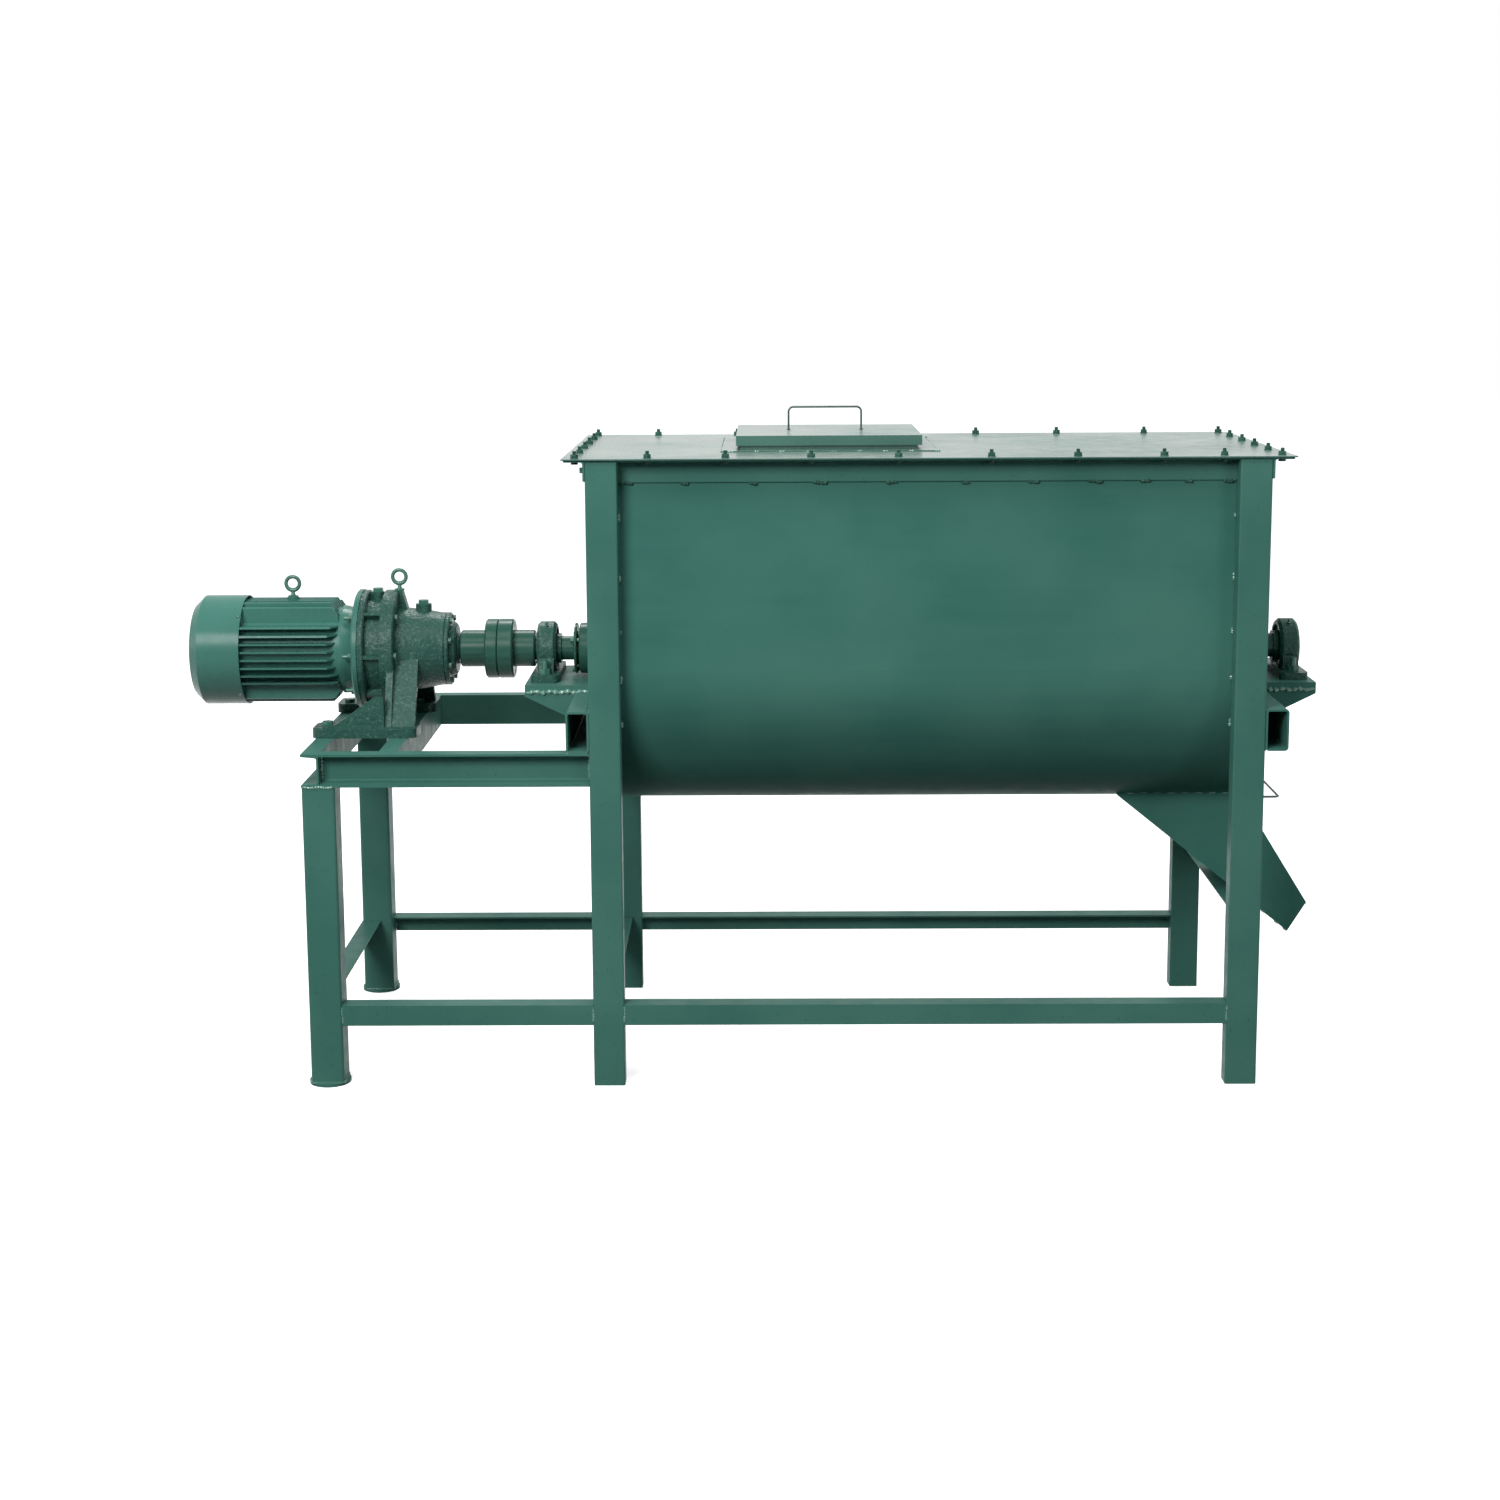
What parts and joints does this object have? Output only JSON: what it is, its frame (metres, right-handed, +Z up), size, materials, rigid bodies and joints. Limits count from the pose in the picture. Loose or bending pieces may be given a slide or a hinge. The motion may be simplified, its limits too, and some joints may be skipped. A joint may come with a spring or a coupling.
{
  "type": "ribbon blender",
  "caption": "Horizontal trough mixer on a welded green frame, with a geared motor drive, a long ribbon shaft, a lift-off hatch cover and a slide-gated discharge chute.",
  "frame": {"origin": "on the floor under the middle of the machine's length and of its width", "axes": "+X along the shaft from the motor to the discharge end, +Y away from the operator's side, +Z up"},
  "size_m": [2.795, 0.87, 1.6145],
  "materials": {
    "green_enamel": "glossy deep green enamel brushed and sprayed over welded mild steel",
    "green_casting": "deep green enamel over rough grey iron castings",
    "green_shaft": "green enamel over turned steel, thin and slightly worn",
    "mill_steel": "cold-rolled strip and bar, dulled by product",
    "ground_steel": "ground bearing and shaft steel",
    "green_fastener": "bolts and eyes painted over with the machine",
    "handle_bar": "round bar handles, thin worn paint over bright steel",
    "fan_plastic": "black moulded fan",
    "packing_rope": "braided greased packing"
  },
  "bodies": {
    "frame": {"bearing_bracket_left": "green_enamel", "bearing_bracket_right": "green_enamel", "bearing_housing_left": "green_casting", "bearing_housing_right": "green_casting", "channel_back": "green_enamel", "channel_front": "green_enamel", "channel_inner": "green_enamel", "channel_left": "green_enamel", "chute": "green_enamel", "cross_rail_left": "green_enamel", "cross_rail_right": "green_enamel", "cross_rail_stand": "green_enamel", "cross_tube_left": "green_enamel", "cross_tube_right": "green_enamel", "end_plate_left": "green_enamel", "end_plate_right": "green_enamel", "eye_bolts": "green_fastener", "gland_boxes": "green_casting", "gland_followers": "green_casting", "gland_packing": "packing_rope", "hatch_neck": "green_enamel", "leg_back_left": "green_enamel", "leg_back_right": "green_enamel", "leg_front_left": "green_enamel", "leg_front_right": "green_enamel", "lid_sheet": "green_enamel", "machine_bolts": "green_fastener", "motor_cowl": "green_enamel", "motor_end_shield": "green_casting", "motor_frame": "green_casting", "reducer_end_cap": "green_casting", "reducer_housing": "green_casting", "reducer_input_flange": "green_casting", "reducer_ring": "green_casting", "rim_angle_back": "green_enamel", "rim_angle_front": "green_enamel", "rim_angle_left": "green_enamel", "rim_angle_right": "green_enamel", "stand_leg_back": "green_enamel", "stand_leg_front": "green_enamel", "stand_rail_back": "green_enamel", "stand_rail_front": "green_enamel", "terminal_box": "green_casting", "trough_rail_back": "green_enamel", "trough_rail_front": "green_enamel", "trough_shell": "green_enamel"},
    "rotor": {"main_shaft": "green_shaft", "output_shaft": "green_shaft", "coupling_drive": "green_casting", "coupling_driven": "green_casting", "bearing_rings": "ground_steel", "ribbon_arms": "mill_steel", "outer_ribbons": "mill_steel", "inner_ribbons": "mill_steel"},
    "cover": {"hatch_cover": "green_enamel", "hatch_handle": "handle_bar"},
    "gate": {"gate_plate": "green_enamel", "gate_handle": "handle_bar"},
    "motor_rotor": {"motor_shaft": "ground_steel", "motor_fan": "fan_plastic"}
  },
  "joints": [
    {"name": "rotor_spin", "type": "hinge", "parent": "frame", "child": "rotor", "pos_m": [0.42, 0, 1.008], "axis": [1, 0, 0], "continuous": true},
    {"name": "motor_spin", "type": "hinge", "parent": "frame", "child": "motor_rotor", "pos_m": [-1.28, 0, 1.008], "axis": [1, 0, 0], "continuous": true},
    {"name": "cover_lift", "type": "slide", "parent": "frame", "child": "cover", "axis": [0, 0, 1], "range_m": [0, 0.3]},
    {"name": "gate_slide", "type": "slide", "parent": "frame", "child": "gate", "axis": [1, 0, 0], "range_m": [0, 0.265]}
  ],
  "couplings": [
    {"joint": "motor_spin", "follows": "rotor_spin", "ratio": -43}
  ]
}
